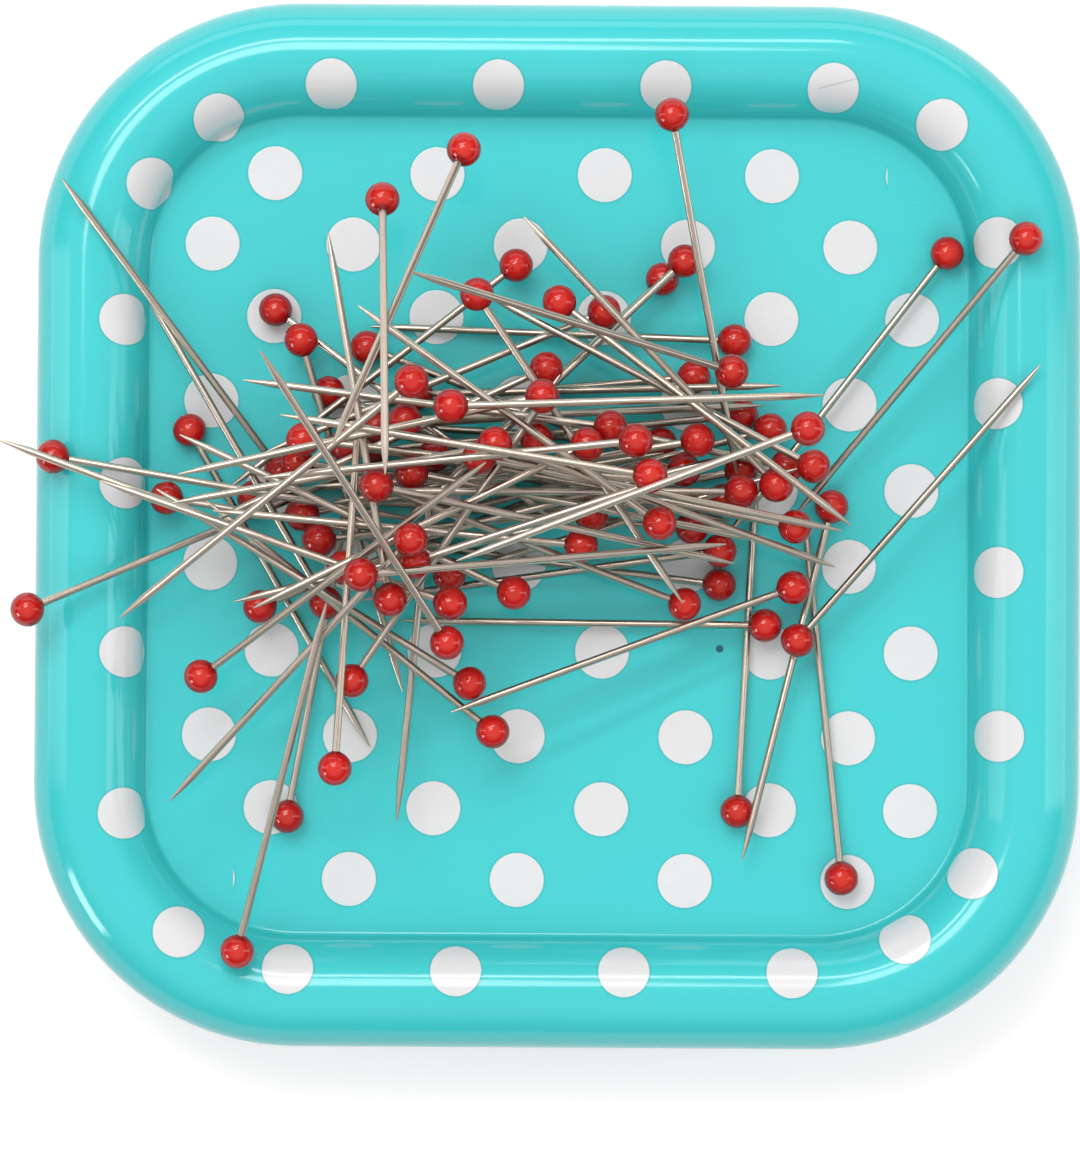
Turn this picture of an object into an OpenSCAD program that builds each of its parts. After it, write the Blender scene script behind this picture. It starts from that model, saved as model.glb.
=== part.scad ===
// A square dish with round corners that holds glass-headed pins with two magnets
// under its floor. Millimetres, +Z up, origin at the middle of the pad it rests on.

/* [Dish] */
// Side of the square dish, outside
tray_w = 82; // [78:1:110]
// Radius of the dish's outer corners, seen from above
corner_r = 20.6; // [19:0.2:24]
// Radius of the rounded rim, in section
rim_r = 4.2; // [3.4:0.1:4.6]
// How far the outside draws in between the rim and the base
base_draw = 2.5; // [0:0.25:4]
// Depth of the bowl below the top of the rim
bowl_depth = 5.6; // [4.8:0.1:9]
// How far the bowl's wall leans in towards the floor
wall_lean = 0.2; // [0:0.05:0.4]
// Radius where the floor meets the wall
floor_fillet = 0.4; // [0.2:0.1:0.6]
// Thickness of the moulded wall and floor
wall_t = 1.6; // [1.2:0.1:2.2]

/* [Base] */
// Gap between the table and the edge of the dish
foot_gap = 0.6; // [0.3:0.1:1]
// Thickness of the base cover
cover_t = 2; // [1.6:0.1:3]
// Side gap between the base cover and the dish
cover_gap = 0.15; // [0.1:0.05:0.4]
// Thickness of the anti-slip pad
pad_t = 1; // [0.8:0.1:1.4]
// Side of the square anti-slip pad
pad_w = 60; // [58:1:64]
// Corner radius of the anti-slip pad
pad_r = 12; // [6:1:16]
// Side gap between the pad and its recess
pad_gap = 0.1; // [0.05:0.05:0.3]

/* [Magnets] */
// Length of each magnet, across the dish
magnet_w = 22; // [16:1:24]
// Depth of each magnet, front to back
magnet_d = 32; // [24:1:32]
// Thickness of each magnet
magnet_t = 5; // [4:0.5:8]
// Distance between the middles of the two magnets
magnet_pitch = 29.2; // [26:0.2:30]
// Gap above the magnets, below the bowl's floor
magnet_play = 0.2; // [0.1:0.05:0.4]
// Thickness of the steel keeper plate under the magnets
keeper_t = 1; // [0.6:0.1:1.6]
// Side gap between the keeper plate and its ribs
keeper_gap = 0.2; // [0.1:0.05:0.4]
// Thickness of the ribs round the keeper plate
rib_t = 1.2; // [0.8:0.1:1.4]
// Height of the ribs above the base cover
rib_h = 3.5; // [2:0.5:4.5]

/* [Base screws] */
// Distance between the screws, across and along
screw_pitch = 44; // [44:0.5:46]
// Diameter of the screws over the thread
screw_d = 2.2; // [2:0.1:2.6]
// Length of the screws under the head
screw_l = 5.5; // [5:0.5:6]
// Diameter of the screw heads
screw_head_d = 4; // [3.6:0.1:4.4]
// Thickness of the screw heads
screw_head_t = 1.2; // [1:0.1:1.4]
// Gap round a screw in the base cover
screw_gap = 0.2; // [0.1:0.05:0.3]
// Diameter of the bosses that the screws pass through or into
boss_d = 7; // [6.6:0.1:7.4]
// Height of the bosses above the base cover
boss_h = 1.2; // [1:0.1:1.8]

/* [Pins] */
// Diameter of the pins' shafts
shaft_d = 0.6; // [0.5:0.05:0.7]
// Length of a pin, over the head and the point
pin_l = 30; // [28:0.5:32]
// Diameter of the glass heads
head_d = 2.7; // [2.4:0.1:3]
// Length of the ground point
point_l = 2.6; // [1.5:0.1:4]
// Diameter at the very end of the point
point_d = 0.1; // [0.05:0.01:0.15]
// How deep a shaft reaches into its head
seat_l = 2; // [1.4:0.1:2.2]
// Gap round a shaft inside its head
seat_gap = 0.02; // [0.01:0.01:0.03]
// Gap kept between one pin and the next, or the dish
pin_gap = 0.08; // [0.06:0.01:0.12]

/* [Hidden] */
// Facets of a full circle, and of a pin's shaft and head
$fn = 96;
pin_fn = 32;
// Small overlap that lets a cut run past a face
cut = 0.5;

// Heights of the stack, from the table up to the rim
cover_z = foot_gap;
keeper_z = cover_z + cover_t;
magnet_z = keeper_z + keeper_t;
underside_z = magnet_z + magnet_t + magnet_play;
floor_z = underside_z + wall_t;
tray_h = floor_z + bowl_depth;

// Section of the dish, measured outward from the line of the corner centres
corner_at = tray_w / 2 - corner_r;
crest_u = corner_r - rim_r;
crest_z = tray_h - rim_r;
wall_u = crest_u - rim_r;
floor_u = wall_u - wall_lean;
base_u = corner_r - base_draw;
cover_u = base_u - wall_t - cover_gap;

// Recess in the cover that takes the pad
pad_recess = pad_t - foot_gap;

// Screws: each head sits in a counterbore and pulls on a land of this thickness
land_t = 1.5;
// Gap round the thread in the dish's boss, and beyond the screw's end
thread_gap = 0.02;
end_gap = 0.15;
// Hexagon drive in the screw's head
drive_d = 1.6;
drive_depth = 0.7;
screw_at = screw_pitch / 2;
boss_z = keeper_z + boss_h;
screw_seat_z = boss_z - land_t;
thread_l = screw_seat_z + screw_l + end_gap - boss_z;

// Keeper plate under both magnets, and the ribs round it
keeper_w = magnet_pitch + magnet_w;
keeper_d = magnet_d;
rib_w = keeper_w + 2 * keeper_gap;
rib_d = keeper_d + 2 * keeper_gap;

// Pins: the head's centre is the start, and the shaft runs from it to the tip
shaft_r = shaft_d / 2;
head_r = head_d / 2;
reach_l = pin_l - head_r;
// Where a pin balances, from its head's centre
balance_l = 10;
// Steepest slope that a pin takes by itself, and the step between the slopes tried
slope_most = 0.3;
slope_step = 0.025;
// How much a pin prefers to lie level
level_pull = 8;
// Step along a pin between the places that are tried against the dish and the pins beside it
look_step = 1;
// Least sine between two pins that cross; below it they lie side by side
cross_least = 0.2;

// Each pin: its set, its head's place from above, the way it points and,
// for a pin that stands on its point, its lean from the level
PINS = [
    ["heap_lower", [-23.9, 2.1], 7.5],
    ["heap_lower", [-14.5, 6.1], -11.5],
    ["heap_lower", [13, 2], 169],
    ["heap_lower", [22.4, -27.6], 96],
    ["heap_lower", [14.2, -22.4], 87],
    ["pin_01", [36.3, 22.3], -129.5],
    ["heap_lower", [30.5, 21.6], -127.5],
    ["heap_lower", [-29, 7.3], -60],
    ["heap_lower", [-21.1, -23], 79.5],
    ["heap_lower", [-21.8, 4], 127],
    ["heap_lower", [-30.7, 1.9], -9.5],
    ["heap_lower", [-23.3, -6.6], 22],
    ["heap_lower", [-18.1, 10.3], -22],
    ["heap_lower", [16.6, 7.5], -165],
    ["heap_lower", [21.5, 1.6], -104],
    ["heap_lower", [14.4, 8.7], -174],
    ["heap_lower", [-18.1, -6.3], 120.5],
    ["heap_lower", [-20, 0.6], 10],
    ["heap_lower", [12.7, -2], -172],
    ["heap_lower", [16.3, -7.8], 179.5],
    ["heap_lower", [-20.4, 4.6], -6.5],
    ["pin_02", [-39.4, 4.9], -9.5],
    ["heap_lower", [-22.3, 16.8], -37],
    ["heap_lower", [-20.2, 14.3], -73.5],
    ["heap_lower", [-9.7, 5.2], -95.5],
    ["heap_lower", [10.5, -0.2], 175.5],
    ["heap_lower", [-18.6, -1.5], 7],
    ["heap_lower", [14.3, 4.3], -168.5],
    ["heap_lower", [-16.5, 5.9], -8.5],
    ["heap_lower", [8.1, 19.4], -136],
    ["heap_middle", [2.6, 0.6], -166],
    ["heap_lower", [9.8, 20.7], -136],
    ["heap_lower", [-11.4, -1.5], 15],
    ["heap_lower", [17.8, 4.5], 168.5],
    ["heap_lower", [-5, -16.3], 141.5],
    ["heap_lower", [-6.8, -12.6], 148.5],
    ["heap_middle", [-11.4, 3.7], -10.5],
    ["heap_middle", [10.8, 6.4], -170],
    ["heap_middle", [-8.5, -4], 17],
    ["heap_middle", [8, 6.5], 176.5],
    ["pin_03", [-3.4, -5.6], 155],
    ["heap_middle", [9.9, -6.3], 159.5],
    ["heap_middle", [12.7, -4.6], 173],
    ["heap_middle", [-19.8, 6.2], -6.5],
    ["heap_middle", [1.8, -1.9], 175],
    ["heap_middle", [-14.2, 7.5], 4.5],
    ["heap_middle", [-15.1, 13.9], -21.5],
    ["heap_middle", [9.8, 4.2], -177],
    ["pin_04", [-6.4, 17.5], -56],
    ["heap_middle", [-3.4, 20.3], -141.5],
    ["heap_middle", [3.5, 16.5], -157],
    ["heap_middle", [-1, 11.9], -155],
    ["heap_middle", [10.6, 11.7], -175],
    ["heap_middle", [18.4, -0.3], 169],
    ["heap_middle", [14.2, 2.4], -179.5],
    ["heap_middle", [13.8, 14.6], 178],
    ["heap_middle", [-11.9, 7.7], 3.5],
    ["heap_middle", [-11.2, 10.2], 1.5],
    ["heap_middle", [19.8, 4.4], 152.5],
    ["heap_middle", [4, 7.2], 173],
    ["pin_05", [-15.9, -12.5], 56],
    ["heap_middle", [16.9, 2.9], 133.5],
    ["heap_upper", [-6.1, 4.8], -11],
    ["heap_upper", [-4.9, 5.7], -19],
    ["heap_middle", [7.8, -0.3], 144.5],
    ["heap_upper", [-1.7, 6.3], -169.5],
    ["heap_upper", [5.9, 5.9], -174],
    ["heap_upper", [7, 3.2], 171],
    ["heap_upper", [-1.3, 9.4], -167.5],
    ["heap_upper", [-16.6, -3.7], 160],
    ["pin_06", [-8.3, -6.5], 161],
    ["pin_07", [-41.1, -7.1], 24],
    ["heap_upper", [2.2, 5.8], -153.5],
    ["pin_08", [-17.1, -19.3], 86.5],
    ["pin_09", [-27.6, -12.2], 36.5],
    ["pin_10", [-12.9, -6.3], 100],
    ["heap_upper", [-11.3, -1.8], -133],
    ["heap_upper", [-8.3, 8.5], 2],
    ["pin_11", [0, 17.1], -37.5],
    ["heap_upper", [-11.1, -3.4], 18.5],
    ["heap_upper", [-14, 2.4], -11.5],
    ["pin_12", [8.6, 31.3], -79, 14],
    ["pin_13", [-15.1, -4.5], 5.5],
    ["pin_14", [-24.7, -33.5], 75.5],
    ["pin_15", [19, 6.8], -159],
    ["pin_16", [-11.3, 10.3], -140.5],
    ["pin_17", [-8.5, -9.6], 123, -26],
    ["pin_18", [13.4, 11.7], 165, -26],
    ["pin_19", [18.4, -4.9], -159.5],
    ["pin_20", [18.8, -9], 49],
    ["pin_21", [-7.4, 28.1], -112, -28],
    ["pin_22", [-13.6, 24.2], -88, -40]
];

// Pins that draw out of the heap along their own shafts, head first
DRAWN = [
    "pin_01", "pin_02", "pin_03", "pin_04", "pin_05", "pin_06", "pin_07", "pin_08",
    "pin_09", "pin_10", "pin_11", "pin_12", "pin_13"
];
// Pins that lie on top and lift straight off
LIFTED = [
    "pin_14", "pin_15", "pin_16", "pin_17", "pin_18", "pin_19", "pin_20", "pin_21",
    "pin_22"
];
LOOSE = concat(DRAWN, LIFTED);
// The heap's sets, bottom to top
HEAPS = ["heap_lower", "heap_middle", "heap_upper"];

DISH_NODES = [
    "tray_shell", "base_cover", "keeper_plate", "magnet_left",
    "magnet_right", "antislip_pad", "base_screws"
];

// Pins of these sets may pass over or under one another; a lifted pin lies over all before it
function woven(set) = search([set], LIFTED)[0] == [];

// Least clear height of a ball of radius r above the dish, at a place from above
function over_dish(q, r) =
    let (
        ax = abs(q.x) - corner_at,
        ay = abs(q.y) - corner_at,
        u = max(ax, ay, norm([max(ax, 0), max(ay, 0)])),
        off = u - crest_u,
        foot = off < 0 ? wall_lean + floor_fillet / 2 : 0,
        reach = rim_r + foot + r + pin_gap,
        rim = abs(off) < reach ? crest_z + sqrt(reach * reach - off * off) : 0
    )
    max(rim, off < 0 ? floor_z + r + pin_gap : r);

// Nearest share of the way along a line from a by v, to the point q
function share_near(a, v, q) = min(max((q - a) * v / (v * v), 0), 1);

// Half the height that a round thing blocks where its middle passes d away from above
function half_block(d, reach) = sqrt(reach * reach - d * d);

// What a lying pin blocks for a pin from p along u: places [t, height, half height],
// and at a crossing the cosine between the two and the lying pin's slope
function blocks(p, u, lying) =
    let (
        a = [lying[0].x, lying[0].y],
        v3 = lying[1] - lying[0],
        v = [v3.x, v3.y],
        a_z = lying[0].z,
        v_slope = v3.z / norm(v),
        steeper = sqrt(1 + v_slope * v_slope),
        sine = cross(u, v) / norm(v),
        cosine = u * v / norm(v),
        askew = abs(sine) > cross_least,
        far = u * reach_l,
        thin = shaft_d + pin_gap,
        mixed = shaft_r + head_r + pin_gap,
        round = head_d + pin_gap,
        t_cross = askew ? cross(a - p, v) / cross(u, v) : -1,
        s_cross = askew ? cross(a - p, u) / cross(u, v) : -1,
        crossed = t_cross >= 0 && t_cross <= reach_l && s_cross >= 0 && s_cross <= 1,
        s_head = share_near(a, v, p),
        s_tip = share_near(a, v, p + far),
        t_head = reach_l * share_near(p, far, a),
        t_tip = reach_l * share_near(p, far, a + v),
        d_head = norm(p - a - v * s_head),
        d_tip = norm(p + far - a - v * s_tip),
        d_low_head = norm(a - p - u * t_head),
        d_low_tip = norm(a + v - p - u * t_tip)
    )
    [
        if (crossed) [t_cross, a_z + s_cross * v3.z, thin, cosine, v_slope],
        if (d_head < mixed) [0, a_z + s_head * v3.z, steeper * half_block(d_head, mixed)],
        if (d_tip < thin) [reach_l, a_z + s_tip * v3.z, steeper * half_block(d_tip, thin)],
        if (d_low_head < mixed) [t_head, a_z, half_block(d_low_head, mixed)],
        if (d_low_tip < thin) [t_tip, lying[1].z, half_block(d_low_tip, thin)],
        if (norm(a - p) < round) [0, a_z, half_block(norm(a - p), round)],
        if (!askew)
            for (t = [0:look_step:reach_l])
                let (
                    s = share_near(a, v, p + u * t),
                    d = norm(p + u * t - a - v * s)
                )
                if (d < thin) [t, a_z + s * v3.z, steeper * half_block(d, thin)]
    ];

// The start heights that a block rules out for a pin of this slope
function span(b, slope, under) =
    let (
        askew = len(b) > 3,
        skew = askew ? slope * b[3] - b[4] : 0,
        half = b[2] * sqrt(1 + slope * slope + (askew ? skew * skew / (1 - b[3] * b[3]) : 0)),
        middle = b[1] - slope * b[0]
    )
    [under ? middle - half : -tray_w, middle + half];

// Lowest height from z up that no span rules out
function lowest(z, spans) =
    let (hits = [for (s = spans) if (s[0] < z && z < s[1]) s[1]])
    len(hits) == 0 ? z : lowest(max(hits), spans);

// A pin's head centre and tip, once it has come to rest on what lies there already
function settle(pin, done) =
    let (
        p = pin[1],
        u = [cos(pin[2]), sin(pin[2])],
        dish = concat(
            [[0, over_dish(p, head_r)], [reach_l, over_dish(p + u * reach_l, shaft_r)]],
            [for (t = [look_step:look_step:reach_l]) [t, over_dish(p + u * t, shaft_r)]]
        ),
        free = woven(pin[0]),
        met = [
            for (i = [0:1:len(done) - 1])
                let (under = free && woven(PINS[i][0]))
                for (b = blocks(p, u, done[i])) [b, under]
        ],
        slopes = len(pin) > 3 ? [-tan(pin[3])] : [for (m = [-slope_most:slope_step:slope_most]) m],
        ways = [
            for (m = slopes)
                let (
                    base = max([for (d = dish) d[1] - m * d[0]]),
                    z = lowest(base, [for (b = met) span(b[0], m, b[1])])
                )
                [z + m * balance_l + level_pull * abs(m), z, m]
        ],
        least = min([for (w = ways) w[0]]),
        best = [for (w = ways) if (w[0] == least) w][0],
        len_t = reach_l / sqrt(1 + best[2] * best[2])
    )
    [[p.x, p.y, best[1]], [p.x + u.x * len_t, p.y + u.y * len_t, best[1] + best[2] * len_t]];

function settle_all(i, done) =
    i == len(PINS) ? done : settle_all(i + 1, concat(done, [settle(PINS[i], done)]));

LYING = settle_all(0, []);

// Section of the dish as if solid: u runs outward from the line of the corner centres
module solid_section(from_u) {
    translate([crest_u, crest_z])
        circle(rim_r);
    polygon([
        [from_u, foot_gap], [base_u, foot_gap], [corner_r, crest_z],
        [wall_u, crest_z], [floor_u, floor_z], [from_u, floor_z]
    ]);
    difference() {
        translate([floor_u - floor_fillet, floor_z - floor_fillet])
            square(2 * floor_fillet);
        translate([floor_u - floor_fillet, floor_z + floor_fillet])
            circle(floor_fillet);
    }
}

// Section of the space inside the dish's wall and under its floor
module cavity_section(from_u) {
    translate([crest_u, crest_z])
        circle(rim_r - wall_t);
    polygon([
        [from_u, foot_gap - cut], [base_u - wall_t, foot_gap - cut], [base_u - wall_t, foot_gap],
        [corner_r - wall_t, crest_z], [wall_u + wall_t, crest_z],
        [wall_u + wall_t, underside_z], [from_u, underside_z]
    ]);
}

module shell_section(from_u) {
    difference() {
        solid_section(from_u);
        cavity_section(from_u);
    }
}

// A square with round corners, seen from above
module round_square(side, r) {
    inner = side / 2 - r;
    for (flip = [0, 90])
        rotate(flip)
            square([side, 2 * inner], center = true);
    for (x = [-inner, inner], y = [-inner, inner])
        translate([x, y])
            circle(r);
}

module at_screws() {
    for (x = [-screw_at, screw_at], y = [-screw_at, screw_at])
        translate([x, y, 0])
            children();
}

// The moulded dish: one skin that turns over the rim and down to the base
module tray_shell() {
    color("mediumturquoise")
        difference() {
            union() {
                for (turn = [0:90:270])
                    rotate(turn) {
                        translate([corner_at, corner_at, 0])
                            rotate([90, 0, 0])
                                linear_extrude(2 * corner_at)
                                    shell_section(-corner_at);
                        translate([corner_at, corner_at, 0])
                            rotate_extrude(angle = 90)
                                shell_section(0);
                    }
                at_screws()
                    translate([0, 0, boss_z])
                        cylinder(d = boss_d, h = underside_z - boss_z + wall_t / 2);
            }
            at_screws()
                translate([0, 0, boss_z - cut])
                    cylinder(d = screw_d + 2 * thread_gap, h = thread_l + cut);
        }
}

// The plate that closes the base, with ribs that hold the keeper plate in place
module base_cover() {
    color("teal")
        difference() {
            union() {
                translate([0, 0, cover_z])
                    linear_extrude(cover_t)
                        round_square(2 * (corner_at + cover_u), cover_u);
                translate([0, 0, keeper_z - cut])
                    linear_extrude(rib_h + cut)
                        difference() {
                            square([rib_w + 2 * rib_t, rib_d + 2 * rib_t], center = true);
                            square([rib_w, rib_d], center = true);
                        }
                at_screws()
                    translate([0, 0, keeper_z - cut])
                        cylinder(d = boss_d, h = boss_h + cut);
            }
            translate([0, 0, cover_z - cut])
                linear_extrude(pad_recess + cut)
                    round_square(pad_w + 2 * pad_gap, pad_r + pad_gap);
            at_screws() {
                translate([0, 0, cover_z - cut])
                    cylinder(d = screw_head_d + 2 * screw_gap, h = screw_seat_z - cover_z + cut);
                cylinder(d = screw_d + 2 * screw_gap, h = boss_z + cut);
            }
        }
}

module keeper_plate() {
    color("silver")
        translate([-keeper_w / 2, -keeper_d / 2, keeper_z])
            cube([keeper_w, keeper_d, keeper_t]);
}

// One ferrite block, on the side given as -1 or 1
module magnet(side) {
    color("dimgray")
        translate([side * magnet_pitch / 2 - magnet_w / 2, -magnet_d / 2, magnet_z])
            cube([magnet_w, magnet_d, magnet_t]);
}

module antislip_pad() {
    color("darkslategray")
        linear_extrude(pad_t)
            round_square(pad_w, pad_r);
}

// Four screws, driven up through the cover into the dish
module base_screws() {
    color("silver")
        at_screws() {
            translate([0, 0, screw_seat_z])
                cylinder(d = screw_d, h = screw_l);
            difference() {
                translate([0, 0, screw_seat_z - screw_head_t])
                    cylinder(d = screw_head_d, h = screw_head_t);
                translate([0, 0, screw_seat_z - screw_head_t - cut])
                    cylinder(d = drive_d, h = drive_depth + cut, $fn = 6);
            }
        }
}

// Puts what is drawn up the Z axis along a pin, from its head's centre to its tip
module along(pin) {
    v = pin[1] - pin[0];
    translate(pin[0])
        rotate([0, acos(v.z / norm(v)), atan2(v.y, v.x)])
            children();
}

// The steel shafts of the pins in one set
module shafts(set) {
    color("lightsteelblue")
        for (i = [0:len(PINS) - 1])
            if (PINS[i][0] == set)
                along(LYING[i])
                    rotate_extrude($fn = pin_fn)
                        polygon([
                            [0, head_r - seat_l], [shaft_r, head_r - seat_l],
                            [shaft_r, reach_l - point_l], [point_d / 2, reach_l], [0, reach_l]
                        ]);
}

// The glass heads of the pins in one set, each with the hole that holds its shaft
module heads(set) {
    color("firebrick")
        for (i = [0:len(PINS) - 1])
            if (PINS[i][0] == set)
                along(LYING[i])
                    difference() {
                        sphere(head_r, $fn = pin_fn);
                        translate([0, 0, head_r - seat_l])
                            cylinder(r = shaft_r + seat_gap, h = seat_l + cut, $fn = pin_fn);
                    }
}

tray_shell();
base_cover();
keeper_plate();
magnet(-1);  // magnet_left
magnet(1);  // magnet_right
antislip_pad();
base_screws();
for (set = HEAPS) {
    shafts(set);
    heads(set);
}
for (set = LOOSE) {
    shafts(set);
    heads(set);
}
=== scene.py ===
import math

import bpy
import numpy as np
from mathutils import Euler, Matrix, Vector


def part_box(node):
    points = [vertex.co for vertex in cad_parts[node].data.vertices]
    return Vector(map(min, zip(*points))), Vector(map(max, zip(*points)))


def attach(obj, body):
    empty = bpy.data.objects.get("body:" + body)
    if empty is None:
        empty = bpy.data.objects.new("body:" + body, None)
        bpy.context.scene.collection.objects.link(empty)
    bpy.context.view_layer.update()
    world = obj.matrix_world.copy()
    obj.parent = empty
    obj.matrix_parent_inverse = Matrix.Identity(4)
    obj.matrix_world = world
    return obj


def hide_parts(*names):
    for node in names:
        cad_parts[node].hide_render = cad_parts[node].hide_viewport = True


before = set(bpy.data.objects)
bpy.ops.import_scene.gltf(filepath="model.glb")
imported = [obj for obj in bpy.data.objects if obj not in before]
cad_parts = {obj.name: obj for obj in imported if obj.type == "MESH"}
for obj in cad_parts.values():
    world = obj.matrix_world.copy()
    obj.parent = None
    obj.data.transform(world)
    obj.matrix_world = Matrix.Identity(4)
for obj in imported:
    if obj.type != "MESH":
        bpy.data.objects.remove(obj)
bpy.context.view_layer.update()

bl_info = {
    "name": "Magnetic pin bowl",
    "version": (1, 0, 0),
    "blender": (4, 5, 0),
    "location": "3D View > Sidebar > Pin Bowl",
    "description": "Dresses a pin bowl: glossy spotted dish, glass-headed pins, magnets, base and studio",
    "category": "Object",
}

MM = 0.001

# The spots on the rim: places from above in the upper half, in millimetres from the middle of
# the pattern. Half a turn gives the spots of the lower half.
RIM_SPOTS = [
    (-32.2, 26.8), (-27.0, 31.9), (-18.2, 34.6), (-5.1, 34.6), (8.0, 34.6), (21.1, 34.5),
    (29.6, 31.7), (34.0, 22.5), (34.0, 9.9), (-34.2, 16.1), (-34.1, 3.3),
]
# How much of a height counts in a rim spot, so that it looks round from above
RIM_LEAN = 0.4
# The spots on the floor: the columns and rows, in millimetres either side of the middle
SPOT_COLUMNS = (3.3, 9.9, 16.5, 22.7, 27.6)
SPOT_ROWS = (3.0, 9.8, 16.5, 22.2, 27.8)
# The floor's corner spots are left out, because the spots of the rim take over there
CORNER_SPOT = 25.6

# How a spot's edge prints, in millimetres: how ragged and how soft it is, and how far the
# darker line round it reaches and how soft that is
SPOT_RAGGED = 0.05
SPOT_SOFT = 0.07
LINE_REACH = 0.13
LINE_SOFT = 0.16
# How much smaller the rim's spots are than the floor's
RIM_SHRINK = 0.06

# The turn between two faces from which their edge stays hard
SHARP_TURN = math.radians(50)
# Where rings of points lie on the floor and under it, in millimetres out from the lines that
# join the corner centres, and then as shares of the first one
FLOOR_RINGS = (2, 6, 9)
UNDER_RINGS = (9, 2)
MIDDLE_SHARES = (0.8, 0.6, 0.4, 0.2)
# Rings down the outside, as shares of its height. The last but one keeps the foot's edge crisp.
OUTSIDE_SHARES = (0.25, 0.5, 0.75, 0.985, 1.0)
FILLET_STEPS = 6
RIM_STEPS = 48
INNER_RIM_STEPS = 16
CORNER_STEPS = 24
SIDE_STEPS = 6

# The bosses under the floor that take the base screws
BOSS_AT = 22 * MM
BOSS_RADIUS = 3.5 * MM
THREAD_RADIUS = 1.12 * MM
BOSS_LOW = 3.8 * MM
BOSS_STEPS = 40
# What keeps two faces of pieces that touch out of one plane
HAIR = 0.01 * MM

# Points of a mesh that lie nearer than this are one point
WELD = 0.0001 * MM
# How thick a slice of a shaft counts as its end
END_SLICE = 0.02 * MM
SHAFT_STEPS = 20
HEAD_STEPS = 36
HEAD_RINGS = 26
POINT_RINGS = 7
# The small collar of glass where a head was drawn onto its shaft, and the step at its end
COLLAR = 0.07 * MM
COLLAR_STEP = 0.015 * MM
# How a ground point narrows: 1 is a straight cone, and less is a fuller one
POINT_TAPER = 0.85
# A share of a turn that spreads any count of things evenly
GOLDEN = 0.6180339887

DISH_NODE = "tray_shell"
HEAP_SETS = ("heap_lower", "heap_middle", "heap_upper")
# The numbers that the heap's pins count on from, so that no two pins have the same tone
HEAP_FIRST = 100
HEAP_APART = 40

# Where painted shade darkens the heap's pins, in millimetres: the middle and half the width of the patch
# from above, and the height at which it ends
HEAP_MIDDLE = (-5.0, 5.0)
HEAP_HALF = (25.0, 12.0)
HEAP_TOP = 19.0

# A short scratch on the rim and a speck on the floor, from above, in millimetres
SCRATCH_AT = (21.8, 34.6)
SCRATCH_TURN = math.radians(14)
SCRATCH_HALF = (1.7, 0.035)
SPECK_AT = (12.8, -9.6)

# Colours of small marks and tints, and the red of the glass heads' painted highlight
SCRATCH_COLOUR = (0.20, 0.22, 0.22, 1.0)
SPECK_COLOUR = (0.01, 0.12, 0.16, 1.0)
DUST_COLOUR = (0.16, 0.165, 0.17, 1.0)
# The painted highlight on top of each glass head: a warmer, brighter red
GLASS_PAINTED_HIGHLIGHT = (0.80, 0.050, 0.016, 1.0)
WARM_STEEL = (0.54, 0.42, 0.31, 1.0)
# The table under the shadow, as the camera sees it, and its own light, which makes the rest white
TABLE_SEEN = (0.86, 0.77, 0.77, 1.0)
TABLE_GLOW = 0.36
WHITE = (1.0, 1.0, 1.0, 1.0)

# Half the table's width, in metres
TABLE_HALF = 1.2
# How far the lamps stand from the middle of the dish's foot
LAMP_AWAY = 0.62
# Each lamp: its name, the property with its power, the way to it, and its two sizes in metres
LAMPS = (
    ("key_lamp", "key", (-0.20, 0.53, 0.82), (0.44, 0.05)),
    ("back_lamp", "back", (0.0, 0.96, 0.28), (0.90, 0.16)),
    ("left_lamp", "side", (-0.96, 0.06, 0.27), (0.12, 0.70)),
    ("right_lamp", "side", (0.92, 0.0, 0.38), (0.12, 0.60)),
    ("window_lamp", "window", (-0.84, -0.48, 0.26), (0.16, 0.16)),
    ("top_lamp", "top", (-0.17, 0.30, 0.94), (0.28, 0.15)),
    ("front_fill", "fill", (0.15, -0.50, 0.85), (0.50, 0.40)),
)
# The room: over what rise it brightens, and where its white at eye level ends, as sines
CEILING_BLEND = 0.3
EYE_LEVEL = 0.06
# The camera's sensor, in millimetres, and the range that it sees, in metres
SENSOR = 36.0
CLIP = (0.01, 10.0)


def node_names(ending):
    return sorted(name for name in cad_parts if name.endswith(ending))


# Shader maths


class Wire:
    """A shader value that sums are written with."""

    def __init__(self, look, socket):
        self.look = look
        self.socket = socket

    def _math(self, operation, *values, clamp=False):
        node = self.look.node("ShaderNodeMath", {"operation": operation, "use_clamp": clamp},
                              dict(enumerate(values)))
        return node[0]

    def __add__(self, other):
        return self._math("ADD", self, other)

    def __radd__(self, other):
        return self._math("ADD", other, self)

    def __sub__(self, other):
        return self._math("SUBTRACT", self, other)

    def __rsub__(self, other):
        return self._math("SUBTRACT", other, self)

    def __mul__(self, other):
        return self._math("MULTIPLY", self, other)

    def __rmul__(self, other):
        return self._math("MULTIPLY", other, self)

    def __truediv__(self, other):
        return self._math("DIVIDE", self, other)

    def __rtruediv__(self, other):
        return self._math("DIVIDE", other, self)

    def __abs__(self):
        return self._math("ABSOLUTE", self)

    def __gt__(self, other):
        return self._math("GREATER_THAN", self, other)

    def __lt__(self, other):
        return self._math("LESS_THAN", self, other)

    def least(self, other):
        return self._math("MINIMUM", self, other)

    def most(self, other):
        return self._math("MAXIMUM", self, other)

    def root(self):
        return self._math("SQRT", self)

    def clamped(self):
        return self._math("ADD", self, 0.0, clamp=True)

    def inside(self, edge, soft):
        """1 where the value lies below the edge, 0 above it, with a soft step between."""
        return ((edge - self) / soft + 0.5).clamped()


class Node:
    """A shader node whose outputs are picked by number or name."""

    def __init__(self, look, node):
        self.look = look
        self.node = node

    def __getitem__(self, key):
        return Wire(self.look, self.node.outputs[key])


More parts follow.
